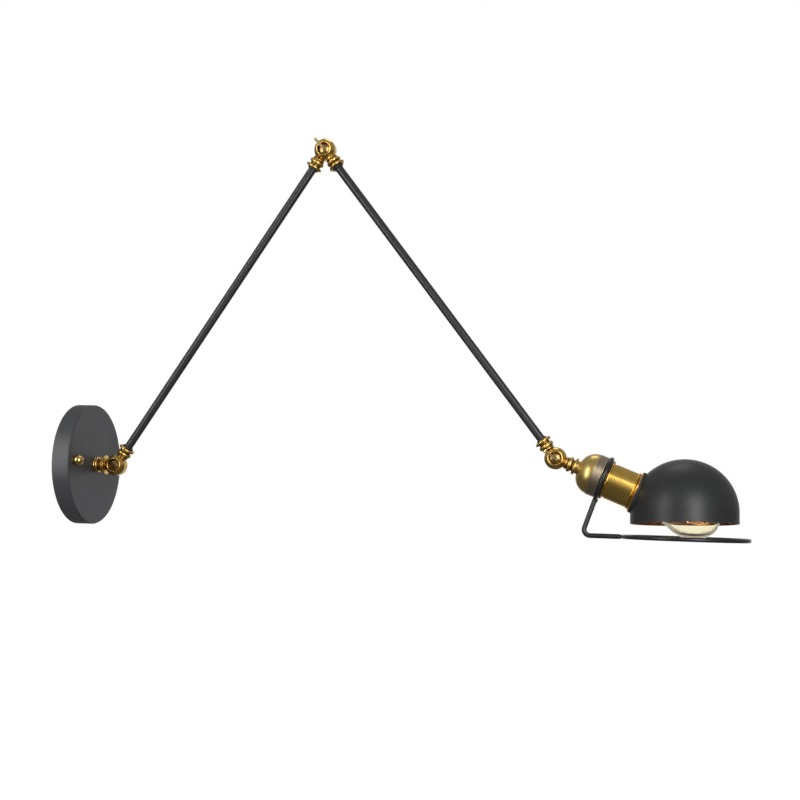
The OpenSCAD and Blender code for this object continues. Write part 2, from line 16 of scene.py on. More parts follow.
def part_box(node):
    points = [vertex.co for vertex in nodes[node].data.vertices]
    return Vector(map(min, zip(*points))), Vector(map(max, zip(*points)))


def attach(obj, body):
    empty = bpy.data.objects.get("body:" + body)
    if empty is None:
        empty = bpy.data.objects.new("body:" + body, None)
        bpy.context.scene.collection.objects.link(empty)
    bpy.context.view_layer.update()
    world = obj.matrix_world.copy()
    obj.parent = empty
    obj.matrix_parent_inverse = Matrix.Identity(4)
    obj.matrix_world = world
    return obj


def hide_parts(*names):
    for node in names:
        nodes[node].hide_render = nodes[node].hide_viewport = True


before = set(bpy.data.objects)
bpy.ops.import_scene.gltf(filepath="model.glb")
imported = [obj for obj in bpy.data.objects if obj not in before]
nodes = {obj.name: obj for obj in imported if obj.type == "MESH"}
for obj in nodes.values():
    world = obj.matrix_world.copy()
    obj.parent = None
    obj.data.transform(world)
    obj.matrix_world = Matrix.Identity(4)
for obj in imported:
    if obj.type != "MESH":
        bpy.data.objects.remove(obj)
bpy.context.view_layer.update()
MM = 0.001

# %% [markdown]
# ## Where the joints are
# Every later step needs the three knuckle pins and the direction of the socket. They could be
# typed in again, but measuring them keeps this file true when the CAD changes. Each knuckle has a
# flat friction ring round its pin, so the middle of the ring's box is the pin. The two rims of the
# socket's band are round about the socket axis, so the middle of their box lies on that axis.

# %% Pins and axes


def middle(node):
    """The middle of a CAD node's box, moved onto the plane in which the arms fold."""
    low, high = (np.array(corner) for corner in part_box(node))
    return (low + high) / 2 * (1, 0, 1)


def toward(start, end):
    """The unit vector from start to end: their difference divided by its length."""
    return (end - start) / np.linalg.norm(end - start)


wall_pin, elbow, wrist = (middle(n + "_friction_ring") for n in ("base", "elbow", "lamp"))
wall_way = np.array([1.0, 0.0, 0.0])
lower_way = toward(wall_pin, elbow)
upper_way = toward(elbow, wrist)
socket_way = toward(wrist, middle("band_trims"))
print("pins, mm:", *(np.round(p * 1000, 1) for p in (wall_pin, elbow, wrist)))

# %% [markdown]
# ## Writing shader maths as plain sums
# A finish is a web of small nodes. Placing them by hand takes many lines, and a sum that is spread
# over ten of them is hard to read. So one small class wraps a socket and lets Python's own signs
# add the Math nodes: 1 - mask then means what it says.

# %% A socket that can be used in a sum


class Signal:
    """One output socket. A sign between two signals, or a signal and a number, adds a Math node."""

    def __init__(self, finish, socket):
        self.finish, self.socket = finish, socket

    def maths(self, operation, *values):
        return self.finish.maths(operation, *values)

    def __add__(self, other):
        return self.maths("ADD", self, other)

    def __sub__(self, other):
        return self.maths("SUBTRACT", self, other)

    def __rsub__(self, other):
        return self.maths("SUBTRACT", other, self)

    def __mul__(self, other):
        return self.maths("MULTIPLY", self, other)

    __radd__, __rmul__ = __add__, __mul__

    def step(self, low, high):
        """A soft step: 0 below low, 1 above high, smooth in between."""
        return self.finish.node("MapRange", {"interpolation_type": "SMOOTHSTEP"}, self, low, high)


# %% [markdown]
# A material could be one long list of nodes and links. Wrapped in a class it reads like a recipe:
# each line names a pattern, and the next line uses it. One method adds any kind of node. Only a mix
# of two colours has a method of its own, because the Mix node's colour sockets share their names
# with its number sockets, and so are called by their place.

# %% A material built from Python
MIX_AMOUNT, MIX_FIRST, MIX_SECOND, MIX_RESULT = 0, 6, 7, 2


class Finish:
    """A material with one Principled shader. Constants go straight onto the shader's sockets."""

    def __init__(self, name, **constants):
        self.material = bpy.data.materials.new(name)
        self.material.use_nodes = True
        self.tree = self.material.node_tree
        self.shader = self.tree.nodes["Principled BSDF"]
        self.set(**constants)

    def feed(self, socket, value):
        """Links a signal to a socket, or writes a number or colour on it."""
        if isinstance(value, Signal):
            self.tree.links.new(value.socket, socket)
        elif isinstance(value, tuple) and len(value) == 3 and socket.type == "RGBA":
            socket.default_value = (*value, 1.0)
        else:
            socket.default_value = value

    def set(self, **values):
        """Feeds sockets of the shader; an underscore in a name stands for a space."""
        for name, value in values.items():
            self.feed(self.shader.inputs[name.replace("_", " ")], value)

    def node(self, kind, settings=None, *values, out=0, **named):
        """Adds a node: its settings and ramp stops first, then its sockets by place or by name."""
        made = self.tree.nodes.new("ShaderNode" + kind)
        for key, value in (settings or {}).items():
            if key == "stops":
                ramp = made.color_ramp.elements
                while len(ramp) < len(value):
                    ramp.new(0.5)
                for stop, (place, colour) in zip(ramp, value):
                    stop.position, stop.color = place, (*colour, 1.0)
            else:
                setattr(made, key, value)
        for place, value in enumerate(values):
            self.feed(made.inputs[place], value)
        for name, value in named.items():
            self.feed(made.inputs[name.replace("_", " ")], value)
        return Signal(self, made.outputs[out])

    def mix(self, amount, first, second):
        """One colour goes over into another: amount 0 gives the first, 1 the second."""
        made = self.tree.nodes.new("ShaderNodeMix")
        made.data_type = "RGBA"
        for place, value in ((MIX_AMOUNT, amount), (MIX_FIRST, first), (MIX_SECOND, second)):
            self.feed(made.inputs[place], value)
        return Signal(self, made.outputs[MIX_RESULT])

    def place(self):
        """Object coordinates, in metres. Every piece's object sits at the origin."""
        return self.node("TexCoord", out="Object")

    def maths(self, operation, *values):
        """Adds one Math node."""
        return self.node("Math", {"operation": operation}, *values)

    def on_axis(self, start, way):
        """Coordinates turned about Y and moved, so that X runs from start along the axis, and Y and
        Z lead off it."""
        turn = math.atan2(-way[2], way[0])
        return self.node("Mapping", {"vector_type": "TEXTURE"}, self.place(),
                         tuple(start), (0.0, turn, 0.0))

    def along_and_round(self, start, way):
        """Two lengths as signals: the station along the axis, and the radius, the length of (y, z)."""
        spot = self.on_axis(start, way)
        flat = self.node("VectorMath", {"operation": "MULTIPLY"}, spot, (0.0, 1.0, 1.0))
        radius = self.node("VectorMath", {"operation": "LENGTH"}, flat, out="Value")
        return self.node("SeparateXYZ", None, spot, out="X"), radius

    def noise(self, size, vector=None, detail=3.0, rough=0.55):
        """Soft noise whose blobs are about size metres across, from 0 to 1 with a middle of 0.5."""
        return self.node("TexNoise", None, Vector=vector or self.place(), Scale=1.0 / size,
                         Detail=detail, Roughness=rough)

    def lathe_lines(self, start, way, width):
        """Fine turning marks: noise that changes along the axis and with the radius, never round it."""
        along, radius = self.along_and_round(start, way)
        spot = self.node("CombineXYZ", None, along, radius, 0.0)
        return self.noise(width, spot, detail=2.0, rough=0.7)

    def relief(self, height, depth, strength=1.0):
        """Turns a height from 0 to 1 into a bent normal: depth is how deep it is, in metres."""
        self.set(Normal=self.node("Bump", None, Strength=strength, Distance=depth, Height=height))


print("shader tools ready")

# %% [markdown]
# ## The camera
# The photograph was measured with a fitted pinhole camera. It stands 1.4 m in front of the arms,
# opposite the shade, and looks a little to the left and almost level. The picture is a crop whose
# middle lies above the lens's middle, so the lens is shifted up. The camera could be aimed at the
# lamp's middle instead, but then the upright lines would lean.

# %% Camera
camera_place = Vector((677.8, -1379.0, -25.1)) * MM
camera_right = Vector((0.9782, 0.20584, 0.02757)).normalized()
camera_forward = Vector((-0.20587, 0.97858, -0.00133)).normalized()
camera_up = camera_right.cross(camera_forward)
FOCAL_PIXELS, PICTURE_PIXELS = 1259.7, 800
SENSOR_WIDTH, LENS_SHIFT = 36.0, 0.12
NEAREST, FARTHEST = 0.05, 50.0
camera_data = bpy.data.cameras.new("camera")
camera_data.sensor_width = SENSOR_WIDTH
camera_data.lens = FOCAL_PIXELS / PICTURE_PIXELS * SENSOR_WIDTH
camera_data.shift_y = LENS_SHIFT
camera_data.clip_start, camera_data.clip_end = NEAREST, FARTHEST
camera = bpy.data.objects.new("camera", camera_data)
camera.matrix_world = Matrix.Translation(camera_place) @ Matrix(
    (camera_right, camera_up, -camera_forward)).transposed().to_4x4()
bpy.context.scene.collection.objects.link(camera)
bpy.context.scene.camera = camera
print(f"lens {camera_data.lens:.1f} mm, shift {camera_data.shift_y:.2f}")

# %% [markdown]
# ## Studio light
# The real picture has a white background, and the long highlights on its brass look like those of
# tall soft lights in front, on the left and on the right. So two tall soft boxes stand there, with
# a weak third one above and behind. Polished brass shows whatever is round it, so the room matters
# as much as the lamps: behind the object it is white, and behind the camera a dim grey, as in a
# studio. Point lamps would be simpler, but would leave only small hard spots on the brass.

# %% Room and lamps
bpy.context.scene.view_settings.view_transform = "Standard"
WORLD_LEVEL = 0.5
# Soft steps over a ray's direction: where each starts and ends, and its strength before and after
CEILING = (-0.12, 0.22, 0.11, 0.34)
BACKDROP = (0.76, 0.96, 0.0, 1.0)
LAMP_MIDDLE = Vector((0.35, 0.0, 0.1))


def make_room():
    """World strength by ray. A camera ray sees white. A reflected ray sees white at the back,
    where its direction's Y is near 1, and elsewhere a dim room that is a little lighter above.
    Other rays get an even grey."""
    world = bpy.data.worlds.new("studio")
    bpy.context.scene.world = world
    world.use_nodes = True
    tree = world.node_tree
    tree.nodes.clear()
    add, link = tree.nodes.new, tree.links.new
    ray, split = add("ShaderNodeLightPath"), add("ShaderNodeSeparateXYZ")
    link(add("ShaderNodeTexCoord").outputs["Generated"], split.inputs[0])

    def fade(way, start, end, low, high):
        """A soft step of one part of the ray's direction, from low before start to high after end."""
        made = add("ShaderNodeMapRange")
        made.interpolation_type = "SMOOTHSTEP"
        for socket, value in zip(made.inputs[1:5], (start, end, low, high)):
            socket.default_value = value
        link(split.outputs[way], made.inputs[0])
        return made.outputs[0]

    room = add("ShaderNodeMath")
    room.operation = "MAXIMUM"
    link(fade("Z", *CEILING), room.inputs[0])
    link(fade("Y", *BACKDROP), room.inputs[1])
    shiny, plain = add("ShaderNodeMix"), add("ShaderNodeMix")
    shiny.inputs["A"].default_value = WORLD_LEVEL
    link(ray.outputs["Is Glossy Ray"], shiny.inputs["Factor"])
    link(room.outputs[0], shiny.inputs["B"])
    clear = add("ShaderNodeMath")
    clear.operation = "MAXIMUM"
    link(ray.outputs["Is Camera Ray"], clear.inputs[0])
    link(ray.outputs["Is Transmission Ray"], clear.inputs[1])
    link(clear.outputs[0], plain.inputs["Factor"])
    link(shiny.outputs[0], plain.inputs["A"])
    plain.inputs["B"].default_value = 1.0
    back, end = add("ShaderNodeBackground"), add("ShaderNodeOutputWorld")
    link(plain.outputs[0], back.inputs["Strength"])
    back.inputs["Color"].default_value = (1.0, 1.0, 1.0, 1.0)
    link(back.outputs[0], end.inputs[0])


make_room()


def soft_box(name, place, width, height, power):
    """A flat lamp of width by height metres that faces the lamp's middle, with its power in watts."""
    data = bpy.data.lights.new(name, "AREA")
    data.shape, data.size, data.size_y, data.energy = "RECTANGLE", width, height, power
    lamp = bpy.data.objects.new(name, data)
    lamp.location = place
    aim = LAMP_MIDDLE - lamp.location
    lamp.rotation_euler = aim.to_track_quat("-Z", "Y").to_euler()
    bpy.context.scene.collection.objects.link(lamp)


soft_box("left_light", (-0.95, -1.65, 0.5), 0.36, 1.9, 21)
soft_box("right_light", (1.30, -1.45, 0.32), 0.6, 1.35, 21)
soft_box("top_light", (0.45, 0.9, 1.9), 0.9, 0.5, 4)
print("lights:", len(bpy.data.lights))

# %% [markdown]
# ## Floor
# A wall lamp does not stand on anything, so the floor lies well below it. It is plain and pale: a
# camera ray sees a bright white, with only a trace of the soft shadow. The white comes from the
# floor's own colour and glow and not from stronger lamps, which would bleach the lamp too.

# %% Floor
FLOOR_HEIGHT, FLOOR_GLOW = -0.62, 0.62
FLOOR_CORNERS = ((-4, -3), (5, -3), (5, 9), (-4, 9))
floor_mesh = bpy.data.meshes.new("floor")
floor_mesh.from_pydata([(x, y, FLOOR_HEIGHT) for x, y in FLOOR_CORNERS], [], [(0, 1, 2, 3)])
floor = bpy.data.objects.new("floor", floor_mesh)
bpy.context.scene.collection.objects.link(floor)
floor.visible_glossy = False
pale = Finish("pale_floor", Roughness=0.9, Specular_IOR_Level=0.0, Emission_Strength=FLOOR_GLOW)
pale.set(Base_Color=pale.mix(pale.noise(0.4), (0.93, 0.93, 0.93), (0.95, 0.95, 0.95)),
         Emission_Color=pale.mix(pale.node("LightPath", out="Is Camera Ray"),
                                 (0.0, 0.0, 0.0), (1.0, 1.0, 1.0)))
floor_mesh.materials.append(pale.material)
print("floor at", FLOOR_HEIGHT, "m")

# %% [markdown]
# ## Satin black paint
# The backplate, the arms and the wire guard are sprayed with the same black. Real spray paint is
# never one flat tone: it has a faint cloudiness, a fine orange-peel surface and a slightly uneven
# sheen. A plain black would look like plastic. Each part gets its own grain size and sheen, so one
# function makes all of them. The plate's copy of the black is a little paler, painted light on its
# large flat face, and the guard's copy is a little darker, painted shade.

# %% Black paints


def black_paint(name, tone, sheen, grain, cloud, depth=0.000005, uneven=1.0, gloss=0.5):
    """Paint tone varies by +-25 % over clouds. The roughness moves with the clouds and the peel,
    times uneven, and the relief is the peel."""
    paint = Finish(name, Specular_IOR_Level=gloss, IOR=1.5)
    mist = paint.noise(cloud, detail=4.0)
    peel = paint.noise(grain, detail=2.0)
    paint.set(Base_Color=paint.mix(mist, tuple(c * 0.75 for c in tone),
                                   tuple(c * 1.25 for c in tone)),
              Roughness=(mist - 0.5) * (0.16 * uneven) + (peel - 0.5) * (0.1 * uneven) + sheen)
    paint.relief(peel, depth)
    return paint


# The plate's tone is paler than the arms', painted light, and the guard's is darker, painted shade.
lit_plate_paint = black_paint("lit_plate_paint", (0.024, 0.025, 0.029), 0.50, 0.0011, 0.03, gloss=0.8)
arm_paint = black_paint("arm_paint", (0.014, 0.014, 0.0145), 0.38, 0.0060, 0.02, 0.000001, 0.4)
shaded_guard_paint = black_paint("shaded_guard_paint", (0.009, 0.009, 0.0095), 0.32, 0.0030, 0.02, 0.000003)
print("black paints ready")

# %% [markdown]
# ## The shade's paint
# The dome is spun on a lathe, so very fine rings run round its axis under the paint. Inside it is
# not black but a dark copper brown, which glows near the bulb: the brown is partly the paint and
# partly painted warm light from the bulb. Two materials would need a cut along the rim. One is
# enough, because the inner skin is a millimetre closer to the dome's centre, so a step on that
# distance tells the two sides apart.

# %% Shade paint
SHADE_RADIUS, SHADE_STATION = 57.15 * MM, 149.06 * MM
SHADE_LEAN, SHADE_TURN = math.radians(23.2 - 21.7), math.radians(-3.6)
# How deep under the outer skin the brown goes over into black
SKIN_DEEP, SKIN_SHALLOW = 0.0008, 0.0003
shade_centre = wrist + socket_way * SHADE_STATION


def shade_paint():
    """Outside black with lathe rings, inside copper brown, partly paint and partly painted warm light.
    The reach is the distance from the dome's centre above the rim's level and from its axis below
    it, and brown is where it is too short."""
    paint = Finish("shade_paint", Specular_IOR_Level=0.4)
    spot = paint.node("Mapping", {"vector_type": "TEXTURE"}, paint.place(), tuple(shade_centre),
                      (SHADE_TURN, -SHADE_LEAN, 0.0))
    height = paint.node("SeparateXYZ", None, spot, out="Z")
    flat = paint.node("VectorMath", {"operation": "MULTIPLY"}, spot, (1.0, 1.0, 0.0))
    around = paint.node("VectorMath", {"operation": "LENGTH"}, flat, out="Value")
    dome = paint.node("VectorMath", {"operation": "LENGTH"}, spot, out="Value")
    on_dome = height.step(-0.0001, 0.0001)
    reach = dome * on_dome + around * (1.0 - on_dome)
    outside = reach.step(SHADE_RADIUS - SKIN_DEEP, SHADE_RADIUS - SKIN_SHALLOW)
    rings = paint.noise(0.0009, paint.node("CombineXYZ", None, around, height, 0.0), detail=2.0)
    mist = paint.noise(0.05, detail=4.0)
    black = paint.mix(mist, (0.010, 0.0105, 0.011), (0.017, 0.0175, 0.018))
    # Copper brown inside, partly the paint and partly painted warm light from the bulb.
    copper_and_warm_light = paint.mix(mist, (0.13, 0.055, 0.026), (0.19, 0.085, 0.040))
    paint.set(Base_Color=paint.mix(outside, copper_and_warm_light, black), Metallic=(1.0 - outside) * 0.35,
              Roughness=(rings - 0.5) * 0.10 + (mist - 0.5) * 0.08 + 0.43)
    paint.relief(rings, 0.000003)
    return paint


shade_finish = shade_paint()
print("shade centre, mm:", np.round(shade_centre * 1000, 1))

# %% [markdown]
# ## Brass
# Three brass finishes are needed. The first is for the knuckles, which are polished and lacquered.
# Their grooves and the recess round each screw are painted dark brown: partly the patina that
# gathers where a cloth never reaches, and partly painted shade, where little light gets in. It
# could be painted on by hand, but a mask made from the station and the radius in the part's own
# coordinates stays in the grooves by itself.

# %% Polished knuckle brass
# Soft steps, in metres: where the collar starts along its axis, the radius at which its grooves
# end, and the radius about the pin and the distance from the fold plane at which the recess ends
COLLAR_START, GROOVE_END = (0.0125, 0.0135), (0.0064, 0.0080)
RECESS_RADIUS, RECESS_DEPTH = (0.0066, 0.0072), (0.0084, 0.0093)
# The polished rim round the recess: its middle radius, half its width, its relief and its height
RIM_MIDDLE, RIM_HALF, RIM_RELIEF = 7.66 * MM, 0.78 * MM, 0.3 * MM
RIM_HEIGHT = (0.0088, 0.0093)


def round_pin(brass, pin):
    """Two lengths as signals: the radius about a knuckle's pin, and how far a point lies from the
    plane in which the arms fold."""
    spot = brass.on_axis(pin, wall_way)
    flat = brass.node("VectorMath", {"operation": "MULTIPLY"}, spot, (1.0, 0.0, 1.0))
    reach = brass.node("VectorMath", {"operation": "LENGTH"}, flat, out="Value")
    return reach, brass.maths("ABSOLUTE", brass.node("SeparateXYZ", None, spot, out="Y"))


def knuckle_brass(name, pin, way):
    """Bright brass. Dark brown in the grooves, where the radius about the collar's axis is small,
    and in the recess round the screw, where the radius about the pin is small: partly patina and
    partly painted shade. The polishing wheel has rounded the rim of each eye: its height is 1 minus
    the squared distance from the middle of the rim, measured in half rims."""
    brass = Finish(name, Metallic=1.0)
    along, radius = brass.along_and_round(pin, way)
    collar = along.step(*COLLAR_START)
    groove = (1.0 - radius.step(*GROOVE_END)) * collar
    reach, deep = round_pin(brass, pin)
    recess = (1.0 - reach.step(*RECESS_RADIUS)) * (1.0 - deep.step(*RECESS_DEPTH))
    stain = brass.noise(0.007, detail=4.0, rough=0.5)
    # Patina and painted shade: the grooves and the recess are darkened almost to black brown.
    patina_and_shade = brass.maths("MAXIMUM", groove * 0.8 + stain.step(0.6, 0.85) * 0.25, recess * 0.95)
    brass.set(Base_Color=brass.mix(patina_and_shade, brass.mix(stain, (0.60, 0.375, 0.090), (0.78, 0.53, 0.165)),
                                   (0.085, 0.040, 0.016)),
              Roughness=patina_and_shade * 0.14 + (stain - 0.5) * 0.06 + collar * 0.06 + 0.24)
    slope = (reach - RIM_MIDDLE) * (1.0 / RIM_HALF)
    rim = (1.0 - brass.maths("ABSOLUTE", slope).step(1.0, 1.02)) * deep.step(*RIM_HEIGHT)
    brass.relief((1.0 - slope * slope) * rim, RIM_RELIEF)
    return brass


knuckles = {
    "base_eye": knuckle_brass("brass_wall_knuckle", wall_pin, -wall_way),
    "lower_foot_eye": knuckle_brass("brass_lower_foot", wall_pin, lower_way),
    "lower_top_eye": knuckle_brass("brass_lower_top", elbow, -lower_way),
    "upper_foot_eye": knuckle_brass("brass_upper_foot", elbow, upper_way),
    "upper_end_eye": knuckle_brass("brass_upper_end", wrist, -upper_way),
    "lamp_eye": knuckle_brass("brass_lamp_knuckle", wrist, socket_way),
}
print(len(knuckles), "knuckle halves")

# %% [markdown]
# ### Keys and the wall screw
# Fingers turn the two keys. Their brass is painted brighter than the knuckles', a painted
# highlight, while their heads and the slotted screw at the wall sit in recesses that are painted
# dark brown: partly patina and partly painted shade. One shared finish would do for the blades,
# but each head is measured from its own pin, so one function makes three materials.

# %% Key and screw brass
# Soft steps, in metres: the distance from the fold plane and the radius at which the head ends
HEAD_DEPTH, HEAD_RADIUS = (0.0094, 0.0104), (0.0075, 0.0085)
# The keys' two tones are brighter than the knuckles' brass: a painted highlight.
KEY_HIGHLIGHT_LIGHT, KEY_HIGHLIGHT_DARK = (0.95, 0.72, 0.32), (0.82, 0.56, 0.20)


def key_brass(name, pin, light, dark):
    """A key or screw, mixed from a light and a dark brass. Its head sits in the recess, nearer to
    the fold plane than the eye's face, and is painted dark brown there, partly patina and partly
    painted shade: the mask is a step on that distance, and noise lets some brass shine through."""
    brass = Finish(name, Metallic=1.0)
    reach, deep = round_pin(brass, pin)
    stain = brass.noise(0.005, detail=4.0, rough=0.5)
    sunk = (1.0 - deep.step(*HEAD_DEPTH)) * (1.0 - reach.step(*HEAD_RADIUS))
    # Patina and painted shade on the head where it sits in the recess.
    patina_and_shade = sunk * (stain.step(0.25, 0.85) * 0.4 + 0.5)
    brass.set(Base_Color=brass.mix(patina_and_shade, brass.mix(stain, dark, light), (0.10, 0.032, 0.012)),
              Roughness=patina_and_shade * 0.18 + (stain - 0.5) * 0.06 + 0.20)
    brass.relief(stain, 0.000008)
    return brass


elbow_key = key_brass("elbow_key_brass", elbow, KEY_HIGHLIGHT_LIGHT, KEY_HIGHLIGHT_DARK)
lamp_key = key_brass("lamp_key_brass", wrist, KEY_HIGHLIGHT_LIGHT, KEY_HIGHLIGHT_DARK)
wall_screw = key_brass("wall_screw_brass", wall_pin, (0.88, 0.62, 0.24), (0.70, 0.44, 0.13))
print("keys and wall screw ready")

# %% [markdown]
# ### Satin brass and pewter
# The cap, the barrel, the band and the round nuts are satin: a lathe tool left fine rings, and the
# lacquer has aged to uneven brown stains. A grain stretched one way would look brushed, so the
# rings come from noise that changes only along the axis and with the radius. Two tones and a sheen
# are all that sets one part's metal apart from another's.

# %% Satin socket brass


def satin_brass(name, start, way, light, dark, sheen):
    """Aged brass: fine rings in roughness and relief, and broad stains between a light and dark."""
    brass = Finish(name, Metallic=1.0)
    rings = brass.lathe_lines(start, way, 0.0006)
    stain = brass.noise(0.018, detail=4.0, rough=0.5)
    brass.set(Base_Color=brass.mix(stain * 0.75 + rings * 0.25, dark, light),
              Roughness=(rings - 0.5) * 0.10 + (stain - 0.5) * 0.10 + sheen)
    brass.relief(rings, 0.000003)
    return brass


barrel_brass = satin_brass("barrel_brass", wrist, socket_way, (0.82, 0.55, 0.135),
                           (0.58, 0.345, 0.070), 0.25)
cap_brass = satin_brass("cap_brass", wrist, socket_way, (0.76, 0.56, 0.20),
                        (0.53, 0.37, 0.115), 0.33)
plate_brass = satin_brass("plate_brass", wall_pin, wall_way, (0.82, 0.55, 0.20),
                          (0.60, 0.36, 0.10), 0.22)
pewter = satin_brass("pewter_band", wrist, socket_way, (0.44, 0.36, 0.265),
                     (0.29, 0.23, 0.16), 0.40)
trim_brass = satin_brass("trim_brass", wrist, socket_way, (0.80, 0.70, 0.50),
                         (0.60, 0.48, 0.30), 0.25)
print("brass ready")

# %% [markdown]
# ## Steel, rubber, fibre and porcelain
# The bracket, studs and nuts behind the backplate are zinc plated, with a faint blue and yellow
# cast. Rubber is dull and dusty, the friction rings are pressed brown fibre, and the lampholder is
# glazed porcelain with tiny specks. Plain colours would do from afar. Seen from behind they look
# like plastic, so each gets two tones and a grain of its own size from one shared function.

# %% Plain fixings


def zinc_plating():
    """Grey metal with a bluish and a yellowish tone mixed by noise, and a spangled roughness."""
    zinc = Finish("zinc_plating", Metallic=1.0)
    cast = zinc.noise(0.009, detail=5.0)
    spangle = zinc.node("TexVoronoi", None, Vector=zinc.place(), Scale=900.0)
    zinc.set(Base_Color=zinc.mix(cast, (0.50, 0.53, 0.58), (0.64, 0.61, 0.53)),
             Roughness=(spangle - 0.4) * 0.2 + cast * 0.15 + 0.28)
    zinc.relief(spangle, 0.00001)
    return zinc


def grained(name, light, dark, size, sheen, depth=0.00003, **constants):
    """A plain stuff with two tones mixed by fine noise, and a relief of the same grain."""
    stuff = Finish(name, **constants)
    grain = stuff.noise(size, detail=5.0, rough=0.65)
    stuff.set(Base_Color=stuff.mix(grain, dark, light), Roughness=(grain - 0.5) * 0.2 + sheen)
    stuff.relief(grain, depth)
    return stuff


zinc = zinc_plating()
rubber = grained("black_rubber", (0.014, 0.014, 0.015), (0.006, 0.006, 0.007), 0.0006, 0.62)
fibre = grained("pressed_fibre", (0.16, 0.080, 0.040), (0.075, 0.035, 0.018), 0.0004, 0.75)
porcelain = grained("porcelain", (0.86, 0.85, 0.81), (0.78, 0.76, 0.71), 0.0012, 0.16, 0.000006,
                    Coat_Weight=0.5, Coat_Roughness=0.06)
black_glass = grained("black_glass", (0.012, 0.012, 0.016), (0.006, 0.006, 0.008), 0.002, 0.10,
                      0.000004)
print("fixings ready")

# %% [markdown]
# ## Glass and filament
# The bulb is clear glass with a warm tint. It is modelled with a real wall, so light bends at both
# skins. A single skin would render faster, but a bulb without a wall looks like a soap bubble. A
# touch of roughness noise stands for the faint streaks of blown glass. The filament is hot carbon:
# it gives its own orange light.

# %% Glass and filament


def bulb_glass_finish(name, tint):
    """Clear tinted glass. Streaks of noise, placed along the socket axis, move the roughness."""
    glass = Finish(name, Transmission_Weight=1.0, IOR=1.45)
    streak = glass.noise(0.004, glass.on_axis(wrist, socket_way), detail=3.0)
    glass.set(Base_Color=glass.mix(streak, tint, tuple(min(1.0, c * 1.03) for c in tint)),
              Roughness=streak.step(0.6, 0.9) * 0.03)
    glass.relief(streak, 0.00001, 0.5)
    return glass


glass = bulb_glass_finish("clear_glass", (1.0, 0.95, 0.78))
stem_glass = bulb_glass_finish("stem_glass", (0.97, 0.97, 0.94))


def hot_wire():
    """A steady glow whose orange changes a little along the wire."""
    wire = Finish("hot_wire", Roughness=0.6, Emission_Strength=14.0)
    heat = wire.noise(0.003)
    wire.set(Base_Color=(0.05, 0.03, 0.02),
             Emission_Color=wire.mix(heat, (1.0, 0.30, 0.055), (1.0, 0.48, 0.12)))
    return wire


filament_glow = hot_wire()
print("glass and filament ready")

# %% [markdown]
# ## Surfaces from a grid of points
# The pieces below are too fine for the CAD model: screw threads, a toothed washer, a weld bead and
# a hair-thin filament. Each is a function of two parameters, worked out as whole numpy arrays. One
# helper turns such grids into a mesh, and a second one carries a profile round an axis. They are
# not built from ready-made cylinders, because those could not carry a real helical thread.

# %% Grids, turned profiles and tubes
MERGE_DISTANCE = 1e-6
SHARP_ANGLE = math.radians(38)
SAMPLES_PER_PITCH = 8
# A direction that no wire here follows, from which the wires' rings are turned
ODD_WAY = np.array([0.13, 0.97, 0.21])


def surface(name, *grids, close_ends=False):
    """A mesh from grids of points [u, v, xyz]. Neighbours form four-sided faces, v always joins its
    last column to its first, and u does too when close_ends is true. Points that fall together at
    a pole are merged, and the faces are turned outwards."""
    points, faces, first = [], [], 0
    for grid in grids:
        rows, columns = grid.shape[:2]
        number = first + np.arange(rows * columns).reshape(rows, columns)
        number = np.hstack([number, number[:, :1]])
        number = np.vstack([number, number[:1]]) if close_ends else number
        faces.append(np.stack([number[:-1, :-1], number[:-1, 1:], number[1:, 1:], number[1:, :-1]],
                              axis=-1).reshape(-1, 4))
        points.append(grid.reshape(-1, 3))
        first += rows * columns
    mesh = bpy.data.meshes.new(name)
    mesh.from_pydata(np.concatenate(points), [], np.concatenate(faces))
    shape = bmesh.new()
    shape.from_mesh(mesh)
    bmesh.ops.remove_doubles(shape, verts=shape.verts, dist=MERGE_DISTANCE)
    bmesh.ops.recalc_face_normals(shape, faces=shape.faces)
    shape.to_mesh(mesh)
    shape.free()
    mesh.shade_smooth()
    mesh.set_sharp_from_angle(angle=SHARP_ANGLE)
    piece = bpy.data.objects.new(name, mesh)
    bpy.context.scene.collection.objects.link(piece)
    return piece


def carried(start, way, station, radius, turn):
    """Points at a station along an axis, and at a radius off it turned by an angle about it."""
    side = np.array([0.0, 1.0, 0.0])
    up = np.cross(way, side)
    return (np.asarray(start) + station[..., None] * way
            + (radius * np.cos(turn))[..., None] * side + (radius * np.sin(turn))[..., None] * up)


def fine(corners, step):
    """A profile of (radius, station) corners in mm, cut into pieces no longer than step mm. Returns
    two arrays in metres."""
    corners = np.array(corners, float)
    run = np.concatenate([[0], np.cumsum(np.linalg.norm(np.diff(corners, axis=0), axis=1))])
    stops = np.unique(np.concatenate([run, np.arange(0, run[-1], step)]))
    return np.interp(stops, run, corners[:, 0]) * MM, np.interp(stops, run, corners[:, 1]) * MM


def screwed(start, way, corners, thread, around):
    """A profile turned round an axis, with a thread (from, to, root radius, pitch, depth, in mm). It
    lowers the profile by depth * (1 - cos(2 pi station / pitch - angle)) / 2, only where the radius
    is more than the root radius, and fades in and out over one pitch."""
    radius, station = fine(corners, thread[3] / SAMPLES_PER_PITCH)
    turn = np.linspace(0, 2 * np.pi, around, endpoint=False)[None, :]
    radius, station = radius[:, None] + 0 * turn, station[:, None] + 0 * turn
    low, high, root, pitch, depth = (value * MM for value in thread)
    soft = np.clip((station - low) / pitch, 0, 1) * np.clip((high - station) / pitch, 0, 1)
    wave = (1 - np.cos(2 * np.pi * station / pitch - turn)) / 2
    radius = radius - np.where(radius > root, soft * wave * depth, 0)
    return carried(start, way, station, radius, turn + 0 * station)


